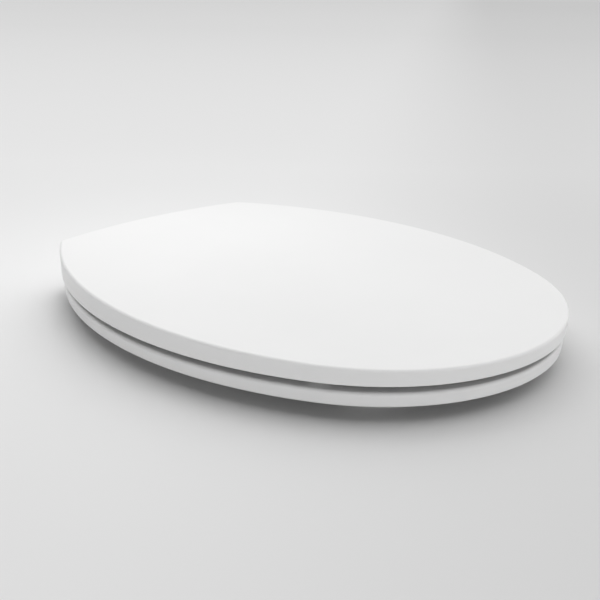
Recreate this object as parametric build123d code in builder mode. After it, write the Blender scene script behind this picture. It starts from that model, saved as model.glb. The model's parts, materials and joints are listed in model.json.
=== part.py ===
from build123d import *
import os
from math import atan2, degrees, sqrt

# Slim soft-close toilet seat. Front towards -Y, rest plane at z = 0,
# origin midway between the two fixing sockets.

# Outline of the seat from above
seat_length = 445.0
seat_width = 365.0
rear_overhang = 25.0
rear_arc_radius = 520.0
rear_corner_radius = 7.5
least_corner_radius = 4.0
side_rear_radius = 323.0
widest_from_rear = 214.5
front_narrowing = 16.5

# Heights, from the rest plane upwards
seat_buffer_height = 11.8
ring_thickness = 10.8
shadow_gap = 5.7
lid_front_height = 11.5
lid_rear_height = 19.7

# Lid
lid_plate = 4.5
lid_rim_thickness = 6.0
lid_lower_inset = 0.8
lid_edge_radius = 2.0
lid_inner_chamfer = 2.5
lid_recess_height = 13.0

# Seat ring
ring_upper_inset = 2.3
ring_lower_inset = 3.2
ring_edge_radius = 2.5
ring_lower_chamfer = 0.8
ring_rear_behind_axis = 4.0
opening_length = 280.0
opening_width = 216.0
opening_front_margin = 68.0
opening_widest_from_front = 150.0
opening_front_narrowing = 18.0
opening_rear_narrowing = 20.0
opening_edge_radius = 4.0
dish_width = 38.0
dish_depth = 2.0

# Buffers
peg_radius = 2.5
peg_length = 4.0
seat_buffer_length = 34.0
seat_buffer_width = 15.0
seat_buffer_taper = 4.0
seat_buffer_chamfer = 1.2
seat_buffer_from_front = 82.0
seat_buffer_from_rear = 87.0
seat_buffer_margin = 50.0
seat_buffer_front_turn = 45.0
seat_buffer_rear_turn = -66.0
lid_buffer_radius = 8.0
lid_buffer_chamfer = 1.2
lid_boss_radius = 9.5
lid_boss_rise = 3.5
lid_buffer_from_front = 98.0
lid_buffer_from_rear = 130.0
lid_buffer_margin = 24.0

# Hinges
fixing_spacing = 155.0
fixing_socket_radius = 3.4
fixing_socket_depth = 6.0
axis_behind_fixing = 10.0
axis_height = 19.4
foot_width = 31.0
foot_depth = 32.0
foot_top = 8.5
foot_corner_radius = 7.0
foot_chamfer = 1.0
pad_thickness = 1.5
pad_inset = 0.6
barrel_width = 16.0
hinge_radius = 7.0
lid_lug_length = 20.0
ring_lug_length = 16.0
lug_end_wall = 2.0
axle_radius = 2.5
axle_flat_depth = 0.5
axle_end_play = 0.5
bush_radius = 4.75
rotor_radius = 3.7
damper_end_wall = 1.0
damper_cover_thickness = 1.5
screw_radius = 1.5
screw_length = 3.6
screw_socket_radius = 0.75
screw_socket_depth = 1.6

# Clearances
seated_fit = 0.02
running_fit = 0.05
side_play = 0.6
lid_rest_gap = 0.3
notch_clearance = 1.0
recess_clearance = 1.5

# Places worked out from the sizes above
front_y = rear_overhang - seat_length
widest_y = rear_overhang - widest_from_rear
front_radius = seat_width / 2 - front_narrowing
axis_y = axis_behind_fixing
ring_bottom = seat_buffer_height
ring_top = ring_bottom + ring_thickness
lid_bottom = ring_top + shadow_gap
lid_slope = (lid_rear_height - lid_front_height) / seat_length
lid_boss_bottom = lid_bottom + lid_boss_rise
opening_front_y = front_y + opening_front_margin
opening_rear_y = opening_front_y + opening_length
opening_widest_y = opening_front_y + opening_widest_from_front
opening_front_radius = opening_width / 2 - opening_front_narrowing
opening_rear_radius = opening_width / 2 - opening_rear_narrowing
fixing_x = fixing_spacing / 2
block_inner_x = fixing_x - foot_width / 2
block_outer_x = fixing_x + foot_width / 2
barrel_outer_x = block_inner_x + barrel_width
lid_lug_outer_x = block_inner_x - side_play
lid_lug_inner_x = lid_lug_outer_x - lid_lug_length
ring_lug_inner_x = barrel_outer_x + side_play
lid_bore_depth = lid_lug_length - lug_end_wall
ring_bore_depth = ring_lug_length - lug_end_wall
lug_bore_radius = bush_radius + seated_fit
axle_bore_radius = axle_radius + seated_fit
screw_x = block_inner_x + barrel_width / 2
foot_front_y = -foot_depth / 2
notch_front_y = foot_front_y - notch_clearance


def oval_end(half_width, depth, end_radius):
    """Side radius, and angle where the arcs meet, of half an oval drawn with two tangent arcs a side."""
    side_radius = (depth**2 + half_width**2 - 2 * depth * end_radius) / (2 * (half_width - end_radius))
    return side_radius, degrees(atan2(depth - end_radius, side_radius - half_width))


def arcs_meet(centre_a, radius_a, centre_b, radius_b):
    """Rearmost point where two circles cross."""
    between = centre_b - centre_a
    along = (between.length**2 + radius_a**2 - radius_b**2) / (2 * between.length)
    across = between.normalized().rotate(Axis.Z, 90) * sqrt(radius_a**2 - along**2)
    foot = centre_a + between.normalized() * along
    return max(foot + across, foot - across, key=lambda point: point.Y)


def lid_top_at(y):
    """Height of the lid's top, which slopes down from the hinges to the front."""
    return lid_bottom + lid_front_height + lid_slope * (y - front_y)


def seat_outline(plane, inset):
    """Outline shared by lid and ring: arched rear, bowed sides, full rounded front."""
    half_width = seat_width / 2
    side_radius, meeting = oval_end(half_width, widest_y - front_y, front_radius)
    rear_side_centre = Vector(half_width - side_rear_radius, widest_y)
    corner = arcs_meet(
        rear_side_centre,
        side_rear_radius - inset,
        Vector(0, rear_overhang - rear_arc_radius),
        rear_arc_radius - inset,
    )
    reach = corner - rear_side_centre
    side_turn = degrees(atan2(reach.Y, reach.X))
    with BuildSketch(plane) as outline:
        with BuildLine():
            CenterArc(rear_side_centre, side_rear_radius - inset, side_turn, -side_turn)
            CenterArc((half_width - side_radius, widest_y), side_radius - inset, 0, -meeting)
            CenterArc((0, front_y + front_radius), front_radius - inset, -meeting, meeting - 90)
            mirror(about=Plane.YZ)
            ThreePointArc((-corner.X, corner.Y), (0, rear_overhang - inset), corner)
        make_face()
        corner_radius = max(rear_corner_radius - inset, least_corner_radius)
        fillet(outline.vertices().sort_by(Axis.Y)[-2:], corner_radius)
    return outline.sketch


def opening_outline(height, spread):
    """Egg-shaped opening of the ring, widened all round by a spread."""
    half_width = opening_width / 2
    front_side, front_meeting = oval_end(
        half_width, opening_widest_y - opening_front_y, opening_front_radius
    )
    rear_side, rear_meeting = oval_end(half_width, opening_rear_y - opening_widest_y, opening_rear_radius)
    with BuildSketch(Plane.XY.offset(height)) as outline:
        with BuildLine():
            CenterArc(
                (0, opening_rear_y - opening_rear_radius), opening_rear_radius + spread, 90, rear_meeting - 90
            )
            CenterArc((half_width - rear_side, opening_widest_y), rear_side + spread, rear_meeting, -rear_meeting)
            CenterArc((half_width - front_side, opening_widest_y), front_side + spread, 0, -front_meeting)
            CenterArc(
                (0, opening_front_y + opening_front_radius),
                opening_front_radius + spread,
                -front_meeting,
                front_meeting - 90,
            )
            mirror(about=Plane.YZ)
        make_face()
    return outline.sketch


def edge_place(y, margin):
    """Place on the right-hand side of the seat, a margin in from its outline."""
    across = Edge.make_line((0, y, 0), (seat_width, y, 0)).intersect(seat_outline(Plane.XY, 0).face())
    return (across.edges()[0].length - margin, y)


def both_sides(place):
    """A place on the right and its mirror image on the left."""
    x, y = place
    return [(x, y), (-x, y)]


seat_buffer_front = edge_place(front_y + seat_buffer_from_front, seat_buffer_margin)
seat_buffer_rear = edge_place(rear_overhang - seat_buffer_from_rear, seat_buffer_margin)
lid_buffer_front = edge_place(front_y + lid_buffer_from_front, lid_buffer_margin)
lid_buffer_rear = edge_place(rear_overhang - lid_buffer_from_rear, lid_buffer_margin)


def hinge_disc(start_x, radius):
    """Disc about the hinge axis, facing +X, at a distance from the middle."""
    with BuildSketch(Plane.YZ.offset(start_x)) as disc:
        with Locations((axis_y, axis_height)):
            Circle(radius)
    return disc.sketch


def hinge_ring(start_x, outer, inner):
    """Flat ring about the hinge axis, facing +X."""
    with BuildSketch(Plane.YZ.offset(start_x)) as washer:
        with Locations((axis_y, axis_height)):
            Circle(outer)
            Circle(inner, mode=Mode.SUBTRACT)
    return washer.sketch


def flatted_disc(start_x, radius, flat):
    """Disc about the hinge axis with a flat on its top."""
    with BuildSketch(Plane.YZ.offset(start_x)) as disc:
        with Locations((axis_y, axis_height)):
            Circle(radius)
        with Locations((axis_y, axis_height + radius)):
            Rectangle(2 * radius, 2 * flat, mode=Mode.SUBTRACT)
    return disc.sketch


def finish(builder, name):
    """Labels a finished piece and writes it."""
    builder.part.label = name
    export_step(builder.part, f"parts/{name}.step")


def finish_pair(right, name):
    """Writes a right-hand piece and its mirror image on the left."""
    with BuildPart() as left:
        mirror(right.part, about=Plane.YZ)
    finish(right, f"{name}_right")
    finish(left, f"{name}_left")


os.makedirs("parts", exist_ok=True)

# Lid: a plate with a turned-down rim, buffer bosses and two hinge lugs
with BuildPart() as lid:
    lower_edge = Plane.XY.offset(lid_bottom)
    top = Plane(origin=(0, 0, lid_top_at(0)), x_dir=(1, 0, 0), z_dir=(0, -lid_slope, 1))
    ceiling = top.offset(-lid_plate)
    loft([seat_outline(lower_edge, lid_lower_inset).face(), seat_outline(top, 0).face()], ruled=True)
    fillet(lid.faces().sort_by(Axis.Z)[-1].edges(), lid_edge_radius)
    hollow_inset = lid_lower_inset + lid_rim_thickness
    loft(
        [seat_outline(lower_edge, hollow_inset).face(), seat_outline(ceiling, hollow_inset).face()],
        ruled=True,
        mode=Mode.SUBTRACT,
    )
    chamfer(lid.faces().sort_by_distance(ceiling.origin)[0].edges(), lid_inner_chamfer)
    for place in (lid_buffer_front, lid_buffer_rear):
        with BuildSketch(Plane.XY.offset(lid_boss_bottom)):
            with Locations(*both_sides(place)):
                Circle(lid_boss_radius)
        extrude(amount=lid_top_at(place[1]) - lid_plate / 2 - lid_boss_bottom)
    with BuildSketch(Plane.XY.offset(lid_boss_bottom)):
        with Locations(*both_sides(lid_buffer_front), *both_sides(lid_buffer_rear)):
            Circle(peg_radius + seated_fit)
    extrude(amount=peg_length + seated_fit, mode=Mode.SUBTRACT)
    # Lugs hang from the plate just inside the rear rim
    lug_top = lid_top_at(axis_y) - lid_plate / 2
    for start_x in (lid_lug_inner_x, -lid_lug_outer_x):
        with BuildSketch(Plane.YZ.offset(start_x)):
            with Locations((axis_y, axis_height)):
                Circle(hinge_radius)
            with Locations((axis_y, (axis_height + lug_top) / 2)):
                Rectangle(2 * hinge_radius, lug_top - axis_height)
        extrude(amount=lid_lug_length)
    extrude(hinge_disc(lid_lug_outer_x, lug_bore_radius), amount=-lid_bore_depth, mode=Mode.SUBTRACT)
    extrude(hinge_disc(-lid_lug_outer_x, lug_bore_radius), amount=lid_bore_depth, mode=Mode.SUBTRACT)
    # Recesses that let the open lid swing clear of the hinge feet
    recess_width = block_outer_x + recess_clearance - lid_lug_outer_x
    recess_x = lid_lug_outer_x + recess_width / 2
    recess_depth = rear_overhang - notch_front_y
    with BuildSketch(Plane.XY.offset(lid_bottom)):
        with Locations(*both_sides((recess_x, notch_front_y + recess_depth / 2))):
            Rectangle(recess_width, recess_depth)
    extrude(amount=lid_recess_height, mode=Mode.SUBTRACT)
finish(lid, "lid")

# Seat ring: dished top, egg-shaped opening, rear notches for the hinges and two lugs
with BuildPart() as ring:
    loft(
        [
            seat_outline(Plane.XY.offset(ring_bottom), ring_lower_inset).face(),
            seat_outline(Plane.XY.offset(ring_top), ring_upper_inset).face(),
        ],
        ruled=True,
    )
    fillet(ring.edges().group_by(Axis.Z)[-1], ring_edge_radius)
    chamfer(ring.edges().group_by(Axis.Z)[0], ring_lower_chamfer)
    with BuildSketch(Plane.XY.offset(ring_bottom)):
        with Locations((0, axis_y + ring_rear_behind_axis)):
            Rectangle(seat_width, rear_overhang, align=(Align.CENTER, Align.MIN))
    extrude(amount=ring_thickness, mode=Mode.SUBTRACT)
    loft(
        [
            opening_outline(ring_top - dish_depth, 0).face(),
            opening_outline(ring_top, dish_width).face(),
        ],
        ruled=True,
        mode=Mode.SUBTRACT,
    )
    extrude(opening_outline(ring_bottom, 0), amount=ring_thickness, mode=Mode.SUBTRACT)
    opening_top = ring_top - dish_depth
    fillet(ring.edges().filter_by_position(Axis.Z, opening_top, opening_top), opening_edge_radius)
    # Notches round the hinge barrels and the lid lugs
    notch_inner_x = lid_lug_inner_x - notch_clearance
    notch_width = ring_lug_inner_x - notch_inner_x
    notch_depth = axis_y + ring_rear_behind_axis - notch_front_y
    with BuildSketch(Plane.XY.offset(ring_bottom)):
        with Locations(*both_sides((notch_inner_x + notch_width / 2, notch_front_y + notch_depth / 2))):
            Rectangle(notch_width, notch_depth)
    extrude(amount=ring_thickness, mode=Mode.SUBTRACT)
    extrude(hinge_disc(ring_lug_inner_x, hinge_radius), amount=ring_lug_length)
    extrude(hinge_disc(-ring_lug_inner_x, hinge_radius), amount=-ring_lug_length)
    extrude(hinge_disc(ring_lug_inner_x, lug_bore_radius), amount=ring_bore_depth, mode=Mode.SUBTRACT)
    extrude(hinge_disc(-ring_lug_inner_x, lug_bore_radius), amount=-ring_bore_depth, mode=Mode.SUBTRACT)
    # Sockets for the seat buffers' pegs
    with BuildSketch(Plane.XY.offset(ring_bottom)):
        with Locations(*both_sides(seat_buffer_front), *both_sides(seat_buffer_rear)):
            Circle(peg_radius + seated_fit)
    extrude(amount=peg_length + seated_fit, mode=Mode.SUBTRACT)
finish(ring, "seat_ring")

# Seat buffers: tapered oblong rubber feet, each pressed in by a peg
for name, place, turn in (
    ("front", seat_buffer_front, seat_buffer_front_turn),
    ("rear", seat_buffer_rear, seat_buffer_rear_turn),
):
    along_ring = Plane(origin=(*place, ring_bottom)).rotated((0, 0, turn))
    with BuildPart() as seat_buffer:
        with BuildSketch(along_ring):
            SlotOverall(seat_buffer_length, seat_buffer_width)
        extrude(amount=-seat_buffer_height, taper=seat_buffer_taper)
        chamfer(seat_buffer.edges().group_by(Axis.Z)[0], seat_buffer_chamfer)
        with BuildSketch(along_ring):
            Circle(peg_radius)
        extrude(amount=peg_length)
    finish_pair(seat_buffer, f"seat_buffer_{name}")

# Lid buffers: round rubber buttons on the lid's bosses, just clear of the ring
for name, place in (("front", lid_buffer_front), ("rear", lid_buffer_rear)):
    boss_face = Plane(origin=(*place, lid_boss_bottom))
    with BuildPart() as lid_buffer:
        with BuildSketch(boss_face):
            Circle(lid_buffer_radius)
        extrude(amount=-(lid_boss_bottom - ring_top - lid_rest_gap))
        chamfer(lid_buffer.edges().group_by(Axis.Z)[0], lid_buffer_chamfer)
        with BuildSketch(boss_face):
            Circle(peg_radius)
        extrude(amount=peg_length)
    finish_pair(lid_buffer, f"lid_buffer_{name}")

# Hinge blocks: a foot over the fixing socket and a barrel that holds the axle
with BuildPart() as hinge_block:
    with BuildSketch(Plane.XY.offset(pad_thickness)):
        with Locations((fixing_x, 0)):
            RectangleRounded(foot_width, foot_depth, foot_corner_radius)
    extrude(amount=foot_top - pad_thickness)
    chamfer(hinge_block.edges().group_by(Axis.Z)[-1], foot_chamfer)
    with BuildSketch(Plane.YZ.offset(block_inner_x)) as barrel_side:
        with Locations((axis_y, axis_height)):
            Circle(hinge_radius)
        with Locations((0, pad_thickness)):
            Rectangle(
                foot_depth - 2 * foot_corner_radius,
                foot_top - foot_chamfer - pad_thickness,
                align=(Align.CENTER, Align.MIN),
            )
        make_hull()
    extrude(amount=barrel_width)
    extrude(hinge_disc(block_inner_x, axle_bore_radius), amount=barrel_width, mode=Mode.SUBTRACT)
    with BuildSketch(Plane.XY.offset(pad_thickness)):
        with Locations((fixing_x, 0)):
            Circle(fixing_socket_radius)
    extrude(amount=fixing_socket_depth, mode=Mode.SUBTRACT)
    with BuildSketch(Plane.XZ.offset(-axis_y)):
        with Locations((screw_x, axis_height)):
            Circle(screw_radius + seated_fit)
    extrude(amount=-hinge_radius, mode=Mode.SUBTRACT)
finish_pair(hinge_block, "hinge_block")

# Base pads: rubber pads between the hinge feet and the bowl
with BuildPart() as base_pad:
    with BuildSketch():
        with Locations((fixing_x, 0)):
            RectangleRounded(
                foot_width - 2 * pad_inset, foot_depth - 2 * pad_inset, foot_corner_radius - pad_inset
            )
            Circle(fixing_socket_radius, mode=Mode.SUBTRACT)
    extrude(amount=pad_thickness)
finish_pair(base_pad, "base_pad")

# Axles: steel pins with a flat at each end for a damper rotor
axle_start_x = lid_lug_outer_x - lid_bore_depth + damper_end_wall + axle_end_play
axle_end_x = ring_lug_inner_x + ring_bore_depth - damper_end_wall - axle_end_play
with BuildPart() as axle:
    extrude(flatted_disc(axle_start_x, axle_radius, axle_flat_depth), amount=lid_lug_outer_x - axle_start_x)
    extrude(hinge_disc(lid_lug_outer_x, axle_radius), amount=ring_lug_inner_x - lid_lug_outer_x)
    extrude(flatted_disc(ring_lug_inner_x, axle_radius, axle_flat_depth), amount=axle_end_x - ring_lug_inner_x)
finish_pair(axle, "axle")

# Screws that lock the axles in their barrels
with BuildPart() as axle_screws:
    screw_face = Plane.XZ.offset(-axis_y - axle_radius - seated_fit)
    with BuildSketch(screw_face):
        with Locations(*both_sides((screw_x, axis_height))):
            Circle(screw_radius)
    extrude(amount=-screw_length)
    with BuildSketch(screw_face.offset(-screw_length)):
        with Locations(*both_sides((screw_x, axis_height))):
            RegularPolygon(screw_socket_radius, 6)
    extrude(amount=screw_socket_depth, mode=Mode.SUBTRACT)
finish(axle_screws, "axle_screws")

# Bushes: one in the right lid lug, one in the left ring lug
with BuildPart() as lid_bush:
    extrude(
        hinge_ring(lid_lug_outer_x, bush_radius, axle_radius + running_fit), amount=-(lid_bore_depth - seated_fit)
    )
finish(lid_bush, "lid_bush")
with BuildPart() as ring_bush:
    extrude(
        hinge_ring(-ring_lug_inner_x, bush_radius, axle_radius + running_fit),
        amount=-(ring_bore_depth - seated_fit),
    )
finish(ring_bush, "ring_bush")


def write_damper(name, mouth_x, bore_depth):
    """Soft-close damper in a lug: a cup housing, a rotor on the axle's flat and a cover."""
    cup_depth = bore_depth - seated_fit - damper_cover_thickness
    cup_mouth_x = mouth_x + damper_cover_thickness
    rotor_length = cup_depth - damper_end_wall - 2 * axle_end_play
    with BuildPart() as housing:
        extrude(hinge_disc(cup_mouth_x, bush_radius), amount=cup_depth)
        extrude(
            hinge_disc(cup_mouth_x, rotor_radius + running_fit),
            amount=cup_depth - damper_end_wall,
            mode=Mode.SUBTRACT,
        )
    finish(housing, f"{name}_damper_housing")
    rotor_x = cup_mouth_x + axle_end_play
    with BuildPart() as rotor:
        extrude(hinge_disc(rotor_x, rotor_radius), amount=rotor_length)
        extrude(
            flatted_disc(rotor_x, axle_radius + seated_fit, axle_flat_depth),
            amount=rotor_length,
            mode=Mode.SUBTRACT,
        )
    finish(rotor, f"{name}_damper_rotor")
    with BuildPart() as cover:
        extrude(
            hinge_ring(mouth_x, bush_radius, axle_radius + running_fit),
            amount=damper_cover_thickness,
        )
    finish(cover, f"{name}_damper_cover")


write_damper("lid", -lid_lug_outer_x, lid_bore_depth)
write_damper("seat", ring_lug_inner_x, ring_bore_depth)
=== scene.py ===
import json
import math

import bpy
from mathutils import Matrix, Vector

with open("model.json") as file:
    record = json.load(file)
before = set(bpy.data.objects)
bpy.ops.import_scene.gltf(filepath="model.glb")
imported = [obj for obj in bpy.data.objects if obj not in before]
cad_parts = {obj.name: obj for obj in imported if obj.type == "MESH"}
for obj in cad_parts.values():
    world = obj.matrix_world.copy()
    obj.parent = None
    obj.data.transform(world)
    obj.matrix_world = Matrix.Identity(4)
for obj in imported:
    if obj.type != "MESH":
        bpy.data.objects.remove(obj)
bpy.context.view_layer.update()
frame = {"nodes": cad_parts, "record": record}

LEVEL = math.radians(90.0)

# Camera: a 60 mm lens on a 36 mm square sensor, low in front of the seat's left side
CAMERA_PLACE = Vector((-0.6100, -0.7439, 0.3064))
CAMERA_YAW = math.radians(47.467)
CAMERA_PITCH = math.radians(19.456)
CAMERA_ROLL = math.radians(1.440)
LENS_MM = 60.0
SENSOR_MM = 36.0

# Floor: a wide disc, with pairs of a distance along the view from the seat's origin and a tone; the
# tones are painted light, a pool of light brightest just beyond the seat that fades towards the camera
# and far along the view
FLOOR_RADIUS = 40.0
FLOOR_SIDES = 96
FLOOR_ROUGHNESS = 0.9
FLOOR_PAINTED_LIGHT = ((-0.55, 0.78), (-0.05, 0.82), (0.2, 0.83), (0.5, 0.862), (1.25, 0.83), (3.0, 0.757),
               (5.5, 0.708))

# Painted shade: the floor dims to the right of a line that leans off the view, and far away it has one
# even tone
FLOOR_LEAN = 0.15
FLOOR_PAINTED_SHADE = 0.88
FLOOR_PAINTED_SHADE_SPAN = (0.05, 0.45)
FLOOR_FAR = 0.835
FLOOR_FAR_SPAN = (5.0, 18.0)

# Sky: a wide soft patch of light high behind the seat, over a dimmer surround
# Its edge lies between two cosines of the angle from its middle
SKY_HIGH = 1.61
SKY_LOW = 0.14
SKY_EDGE = (0.35, 0.85)
SKY_TILT = math.radians(35.0)
SKY_TURN = math.radians(62.0)

# Fill: a low band of light in front, for the seat's near sides, that hardly reaches the floor
# Its top lies between two sines of the height angle, and its ends between two cosines of the turn
FILL_HIGH = 3.6
FILL_TOP = (0.12, 0.17)
FILL_ENDS = (0.26, 0.87)
FILL_TURN = math.radians(214.0)

# Backdrop: what the camera and reflections see in place of that light, as sines of height and tones
BACKDROP_TONES = ((0.0, 0.77), (0.35, 0.77), (0.6, 1.0), (0.8, 0.85), (1.0, 0.35))

# Lamp: a small soft square above the rear, facing down, for the far end of the lid
LAMP_PLACE = Vector((0.0, 0.02, 0.55))
LAMP_SIDE = 0.25
LAMP_SPREAD = math.radians(100.0)
LAMP_WATTS = 0.17

# Finishes: two noises, one for the tone and one for gloss and grain, and the span that they mostly fill
TONE_DETAIL = 3.0
GRAIN_DETAIL = 2.0
NOISE_SPAN = (0.3, 0.7)
EVEN = (1.0, 1.0, 1.0)
TURNED_ABOUT_X = (12.0, 0.4, 0.4)

FINISHES = {
    "white_duroplast": dict(
        dark=(0.860, 0.860, 0.858), light=(0.880, 0.880, 0.878), rough=(0.33, 0.39),
        tone_scale=7.0, grain_scale=650.0, grain_strength=0.05, grain_depth=0.0001),
    "buffer_rubber": dict(
        dark=(0.74, 0.74, 0.73), light=(0.81, 0.81, 0.80), rough=(0.62, 0.78),
        tone_scale=120.0, grain_scale=1800.0, grain_strength=0.25, grain_depth=0.0002),
    "hinge_chrome": dict(
        dark=(0.76, 0.77, 0.78), light=(0.82, 0.83, 0.84), rough=(0.06, 0.13),
        tone_scale=60.0, grain_scale=420.0, grain_strength=0.03, grain_depth=0.0001, metal=1.0),
    "pad_rubber": dict(
        dark=(0.28, 0.28, 0.29), light=(0.35, 0.35, 0.36), rough=(0.68, 0.82),
        tone_scale=120.0, grain_scale=1600.0, grain_strength=0.3, grain_depth=0.0002),
    "axle_steel": dict(
        dark=(0.58, 0.59, 0.60), light=(0.66, 0.67, 0.68), rough=(0.22, 0.38),
        tone_scale=90.0, grain_scale=300.0, grain_strength=0.15, grain_depth=0.0001, metal=1.0,
        stretch=TURNED_ABOUT_X),
    "bush_plastic": dict(
        dark=(0.82, 0.81, 0.77), light=(0.88, 0.87, 0.83), rough=(0.40, 0.52),
        tone_scale=90.0, grain_scale=1400.0, grain_strength=0.12, grain_depth=0.0001),
    "damper_plastic": dict(
        dark=(0.10, 0.10, 0.11), light=(0.14, 0.14, 0.15), rough=(0.42, 0.58),
        tone_scale=150.0, grain_scale=2200.0, grain_strength=0.35, grain_depth=0.0002),
}


def direction(tilt, turn):
    """The way that leans from straight up by the tilt, turned clockwise from +Y seen from above."""
    return Vector((math.sin(tilt) * math.sin(turn), math.sin(tilt) * math.cos(turn), math.cos(tilt)))


def feed(tree, socket, source):
    """Gives an input a plain number, or links it to the output of another node."""
    if isinstance(source, bpy.types.NodeSocket):
        tree.links.new(source, socket)
    else:
        socket.default_value = source


def calculate(tree, operation, *sources):
    """One step of arithmetic on numbers and outputs of other nodes."""
    node = tree.nodes.new("ShaderNodeMath")
    node.operation = operation
    for socket, source in zip(node.inputs, sources):
        feed(tree, socket, source)
    return node.outputs["Value"]


def along(tree, place, way):
    """How far a place lies along a direction."""
    node = tree.nodes.new("ShaderNodeVectorMath")
    node.operation = "DOT_PRODUCT"
    tree.links.new(place, node.inputs[0])
    node.inputs[1].default_value = way
    return node.outputs["Value"]


def distance(tree, place):
    """How far a place lies from the origin."""
    node = tree.nodes.new("ShaderNodeVectorMath")
    node.operation = "LENGTH"
    tree.links.new(place, node.inputs[0])
    return node.outputs["Value"]


def between(tree, source, span, values, smooth=True):
    """Goes from the first value to the second as the source crosses the span."""
    node = tree.nodes.new("ShaderNodeMapRange")
    node.interpolation_type = "SMOOTHSTEP" if smooth else "LINEAR"
    for name, number in zip(("From Min", "From Max", "To Min", "To Max"), (*span, *values)):
        node.inputs[name].default_value = number
    tree.links.new(source, node.inputs["Value"])
    return node.outputs["Result"]


def mix(tree, factor, first, second):
    """The first value where the factor is 0, and the second where it is 1."""
    node = tree.nodes.new("ShaderNodeMix")
    for name, source in (("Factor", factor), ("A", first), ("B", second)):
        feed(tree, node.inputs[name], source)
    return node.outputs["Result"]


def colour_ramp(tree, source, stops):
    """A run of colours along the source, whose stops are pairs of a position and a colour."""
    node = tree.nodes.new("ShaderNodeValToRGB")
    elements = node.color_ramp.elements
    while len(elements) < len(stops):
        elements.new(1.0)
    for element, (position, colour) in zip(elements, stops):
        element.position = position
        element.color = (*colour, 1.0)
    tree.links.new(source, node.inputs["Fac"])
    return node.outputs["Color"]


def grey_ramp(tree, source, stops):
    """A run of greys along the source, whose stops are pairs of a position and a tone."""
    return colour_ramp(tree, source, [(position, (tone, tone, tone)) for position, tone in stops])


def new_material(name):
    """A node material with its tree and its shader."""
    material = bpy.data.materials.new(name)
    material.use_nodes = True
    tree = material.node_tree
    return material, tree, tree.nodes["Principled BSDF"]


def object_noise(tree, scale, detail, stretch=EVEN):
    """Noise laid out in the object's own metres, finer along an axis with a larger stretch."""
    place = tree.nodes.new("ShaderNodeTexCoord")
    mapping = tree.nodes.new("ShaderNodeMapping")
    mapping.inputs["Scale"].default_value = stretch
    noise = tree.nodes.new("ShaderNodeTexNoise")
    noise.inputs["Scale"].default_value = scale
    noise.inputs["Detail"].default_value = detail
    tree.links.new(place.outputs["Object"], mapping.inputs["Vector"])
    tree.links.new(mapping.outputs["Vector"], noise.inputs["Vector"])
    return noise.outputs["Fac"]


def surface(name, dark, light, rough, tone_scale, grain_scale, grain_strength, grain_depth,
            metal=0.0, stretch=EVEN):
    """One finish: a drifting tone and gloss, and a fine grain that stands out by its depth in metres."""
    material, tree, shader = new_material(name)
    shader.inputs["Metallic"].default_value = metal
    tone = object_noise(tree, tone_scale, TONE_DETAIL)
    grain = object_noise(tree, grain_scale, GRAIN_DETAIL, stretch)
    colour = colour_ramp(tree, tone, list(zip(NOISE_SPAN, (dark, light))))
    roughness = between(tree, grain, NOISE_SPAN, rough, smooth=False)
    bump = tree.nodes.new("ShaderNodeBump")
    bump.inputs["Strength"].default_value = grain_strength
    bump.inputs["Distance"].default_value = grain_depth
    tree.links.new(grain, bump.inputs["Height"])
    tree.links.new(colour, shader.inputs["Base Color"])
    tree.links.new(roughness, shader.inputs["Roughness"])
    tree.links.new(bump.outputs["Normal"], shader.inputs["Normal"])
    return material


def finish_nodes():
    """Each node gets the finish of its material slot in the record."""
    materials = {slot: surface(slot, **finish) for slot, finish in FINISHES.items()}
    for subpart in frame["record"]["subparts"]:
        mesh = frame["nodes"][subpart["node"]].data
        mesh.materials.clear()
        mesh.materials.append(materials[subpart["material_slot"]])


def floor_painted_light():
    """A matt grey with painted light: a painted pool of light along the view, painted shade to the
    right, and one even tone far away.
    """
    material, tree, shader = new_material("floor_painted_light")
    shader.inputs["Roughness"].default_value = FLOOR_ROUGHNESS
    shader.inputs["Specular IOR Level"].default_value = 0.0
    place = tree.nodes.new("ShaderNodeTexCoord").outputs["Object"]
    ahead = along(tree, place, direction(LEVEL, CAMERA_YAW))
    across = along(tree, place, direction(LEVEL, CAMERA_YAW + LEVEL))
    start = FLOOR_PAINTED_LIGHT[0][0]
    end = FLOOR_PAINTED_LIGHT[-1][0]
    stops = [((metres - start) / (end - start), tone) for metres, tone in FLOOR_PAINTED_LIGHT]
    # Painted light: the floor's tone along the view is a painted pool of light, brightest just beyond
    # the seat
    painted_light = grey_ramp(tree, between(tree, ahead, (start, end), (0.0, 1.0), smooth=False), stops)
    rightward = calculate(tree, "MULTIPLY_ADD", ahead, -FLOOR_LEAN, across)
    # Painted shade: the floor is painted darker to the right of the leaning line
    painted_shade = between(tree, rightward, FLOOR_PAINTED_SHADE_SPAN, (1.0, FLOOR_PAINTED_SHADE))
    near = calculate(tree, "MULTIPLY", painted_light, painted_shade)
    fade = between(tree, distance(tree, place), FLOOR_FAR_SPAN, (0.0, 1.0))
    tree.links.new(mix(tree, fade, near, FLOOR_FAR), shader.inputs["Base Color"])
    return material


def add_floor():
    """A wide round floor under the seat."""
    corners = []
    for side in range(FLOOR_SIDES):
        turn = 2.0 * math.pi * side / FLOOR_SIDES
        corners.append((FLOOR_RADIUS * math.cos(turn), FLOOR_RADIUS * math.sin(turn), 0.0))
    mesh = bpy.data.meshes.new("floor")
    mesh.from_pydata(corners, [], [list(range(FLOOR_SIDES))])
    mesh.materials.append(floor_painted_light())
    floor = bpy.data.objects.new("floor", mesh)
    bpy.context.scene.collection.objects.link(floor)


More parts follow.
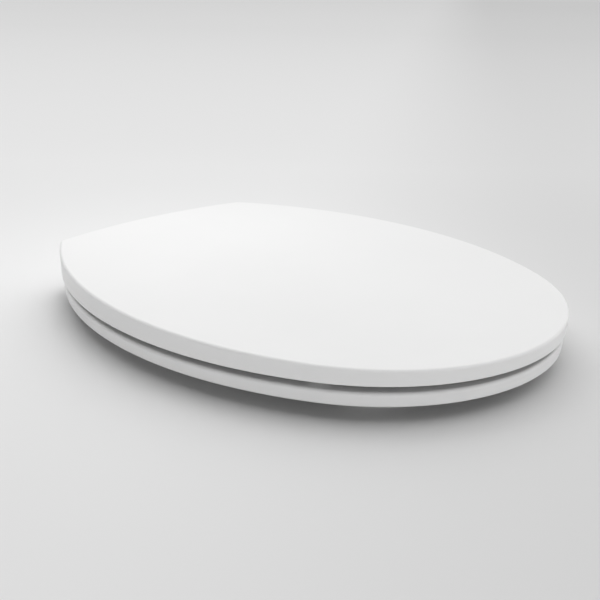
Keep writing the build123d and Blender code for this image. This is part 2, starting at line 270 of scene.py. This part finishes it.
def add_world():
    """Soft light high behind the seat and low in front, and a pale backdrop for what looks at it."""
    world = bpy.data.worlds.new("studio")
    world.use_nodes = True
    tree = world.node_tree
    glow = tree.nodes["Background"]
    glow.inputs["Color"].default_value = (1.0, 1.0, 1.0, 1.0)
    place = tree.nodes.new("ShaderNodeTexCoord").outputs["Generated"]
    height = along(tree, place, (0.0, 0.0, 1.0))
    sky = between(tree, along(tree, place, direction(SKY_TILT, SKY_TURN)), SKY_EDGE, (SKY_LOW, SKY_HIGH))
    ends = between(tree, along(tree, place, direction(LEVEL, FILL_TURN)), FILL_ENDS, (0.0, 1.0))
    band = between(tree, height, FILL_TOP, (FILL_HIGH, 0.0))
    light = calculate(tree, "MULTIPLY_ADD", ends, band, sky)
    ray = tree.nodes.new("ShaderNodeLightPath").outputs
    mirrored = calculate(tree, "MAXIMUM", ray["Is Glossy Ray"], ray["Is Transmission Ray"])
    looking = calculate(tree, "MAXIMUM", ray["Is Camera Ray"], mirrored)
    backdrop = grey_ramp(tree, height, BACKDROP_TONES)
    tree.links.new(mix(tree, looking, light, backdrop), glow.inputs["Strength"])
    bpy.context.scene.world = world


def add_lamp():
    """The small soft lamp above the rear."""
    data = bpy.data.lights.new("rear_lamp", "AREA")
    data.shape = "SQUARE"
    data.size = LAMP_SIDE
    data.spread = LAMP_SPREAD
    data.energy = LAMP_WATTS
    lamp = bpy.data.objects.new("rear_lamp", data)
    lamp.location = LAMP_PLACE
    lamp.visible_camera = False
    bpy.context.scene.collection.objects.link(lamp)


def add_camera():
    """The camera stands where the photograph was taken from."""
    forward = direction(LEVEL + CAMERA_PITCH, CAMERA_YAW)
    level = direction(LEVEL, CAMERA_YAW + LEVEL)
    upright = level.cross(forward)
    right = math.cos(CAMERA_ROLL) * level + math.sin(CAMERA_ROLL) * upright
    up = math.cos(CAMERA_ROLL) * upright - math.sin(CAMERA_ROLL) * level
    turn = Matrix((right, up, -forward)).transposed().to_4x4()
    data = bpy.data.cameras.new("camera")
    data.lens = LENS_MM
    data.sensor_width = SENSOR_MM
    data.clip_end = 2.0 * FLOOR_RADIUS
    camera = bpy.data.objects.new("camera", data)
    camera.matrix_world = Matrix.Translation(CAMERA_PLACE) @ turn
    bpy.context.scene.collection.objects.link(camera)
    bpy.context.scene.camera = camera


finish_nodes()
add_floor()
add_world()
add_lamp()
add_camera()
bpy.context.scene.view_settings.view_transform = "Standard"
